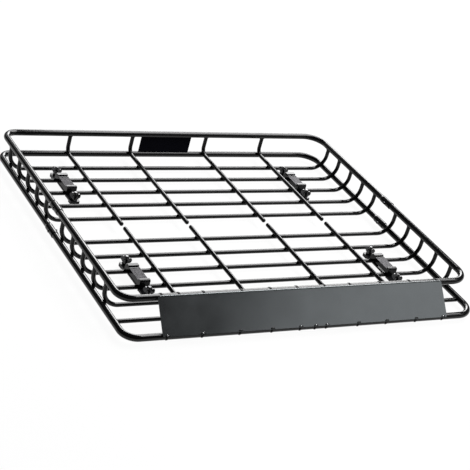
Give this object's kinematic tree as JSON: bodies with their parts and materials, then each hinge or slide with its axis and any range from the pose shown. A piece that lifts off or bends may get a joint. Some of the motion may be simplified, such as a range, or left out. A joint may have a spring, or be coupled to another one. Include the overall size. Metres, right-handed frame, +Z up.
{
  "type": "roof basket",
  "caption": "Black steel roof cargo basket: two round-tube rails all round, rod floor, sloping front fairing and wing-nut clamps.",
  "frame": {"origin": "on the floor plane under the middle of the basket's outline", "axes": "+X across the basket along the fairing, to the right seen from the front; +Y from the fairing to the rear; +Z up"},
  "size_m": [1.1764, 1.0094, 0.1054],
  "materials": {
    "coated_tube": "satin black powder coat",
    "fairing_sheet": "satin grey-black sheet",
    "bare_plate": "flat blue-black",
    "band_strip": "satin black",
    "dark_hardware": "black oxide",
    "clamp_coating": "coarse black-grey coating",
    "bright_hardware": "satin zinc"
  },
  "bodies": {
    "root": {"rear_top_rail": "coated_tube", "front_top_rail": "coated_tube", "rear_bottom_rail": "coated_tube", "front_bottom_rail": "coated_tube", "rear_crossbar_1": "coated_tube", "rear_crossbar_2": "coated_tube", "rear_crossbar_3": "coated_tube", "rear_crossbar_4": "coated_tube", "rear_crossbar_5": "coated_tube", "front_crossbar_1": "coated_tube", "front_crossbar_2": "coated_tube", "front_crossbar_3": "coated_tube", "front_crossbar_4": "coated_tube", "front_crossbar_5": "coated_tube", "front_straight_bar": "coated_tube", "rear_long_bar_1": "coated_tube", "rear_long_bar_2": "coated_tube", "rear_long_bar_3": "coated_tube", "rear_long_bar_4": "coated_tube", "front_long_bar_1": "coated_tube", "front_long_bar_2": "coated_tube", "front_long_bar_3": "coated_tube", "front_long_bar_4": "coated_tube", "front_struts": "coated_tube", "fairing": "fairing_sheet", "fairing_bands_top": "band_strip", "fairing_bands_bottom": "band_strip", "rear_plate": "bare_plate", "rail_lock_bolts": "dark_hardware", "clamp_bracket_rear_left": "clamp_coating", "clamp_plate_rear_left": "clamp_coating", "clamp_bolts_rear_left": "bright_hardware", "wing_nuts_rear_left": "bright_hardware", "clamp_bracket_rear_right": "clamp_coating", "clamp_plate_rear_right": "clamp_coating", "clamp_bolts_rear_right": "bright_hardware", "wing_nuts_rear_right": "bright_hardware", "clamp_bracket_front_left": "clamp_coating", "clamp_plate_front_left": "clamp_coating", "clamp_bolts_front_left": "bright_hardware", "wing_nuts_front_left": "bright_hardware", "clamp_bracket_front_right": "clamp_coating", "clamp_plate_front_right": "clamp_coating", "clamp_bolts_front_right": "bright_hardware", "wing_nuts_front_right": "bright_hardware"}
  },
  "joints": []
}
